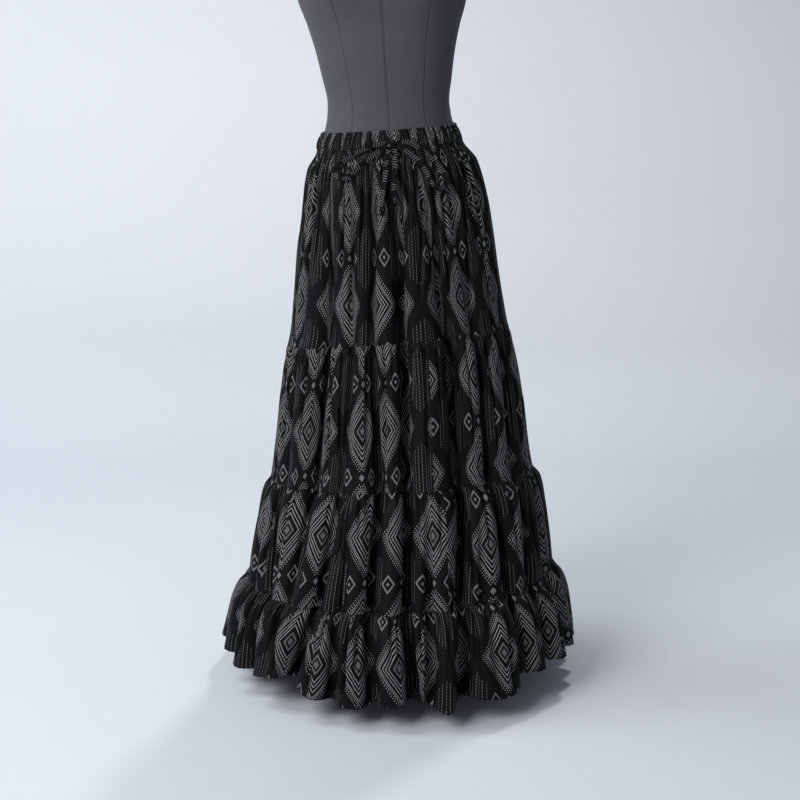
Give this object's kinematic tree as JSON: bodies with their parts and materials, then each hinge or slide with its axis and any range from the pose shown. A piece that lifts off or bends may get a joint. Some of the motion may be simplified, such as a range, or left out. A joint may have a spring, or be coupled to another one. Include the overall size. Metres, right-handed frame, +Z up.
{
  "type": "tiered gypsy skirt on limbless dress form",
  "caption": "Gathered tiered maxi skirt with a ruched elastic waist and a tied drawstring, worn on a limbless dress form on a pole and round foot.",
  "frame": {"origin": "middle of the foot's flat underside, on the pole's axis", "axes": "+Z up, front of the skirt towards -Y, wearer's left towards +X"},
  "size_m": [0.6848, 0.6434, 1.5573],
  "materials": {
    "skirt_cloth": "matt black woven cloth printed in grey",
    "form_cover": "charcoal jersey",
    "stand_metal": "satin black",
    "neck_cap": "satin black"
  },
  "bodies": {
    "root": {"waistband": "skirt_cloth", "tier_1_strip_1": "skirt_cloth", "tier_1_strip_2": "skirt_cloth", "tier_2_strip_1": "skirt_cloth", "tier_2_strip_2": "skirt_cloth", "tier_3_strip_1": "skirt_cloth", "tier_3_strip_2": "skirt_cloth", "tier_3_strip_3": "skirt_cloth", "tier_4_strip_1": "skirt_cloth", "tier_4_strip_2": "skirt_cloth", "tier_4_strip_3": "skirt_cloth", "tier_4_strip_4": "skirt_cloth", "tie_knot": "skirt_cloth", "tie_loop_left": "skirt_cloth", "tie_loop_right": "skirt_cloth", "tie_tail_long": "skirt_cloth", "tie_tail_short": "skirt_cloth", "form_torso": "form_cover", "form_pole": "stand_metal", "form_foot": "stand_metal", "form_neck_cap": "neck_cap"}
  },
  "joints": []
}
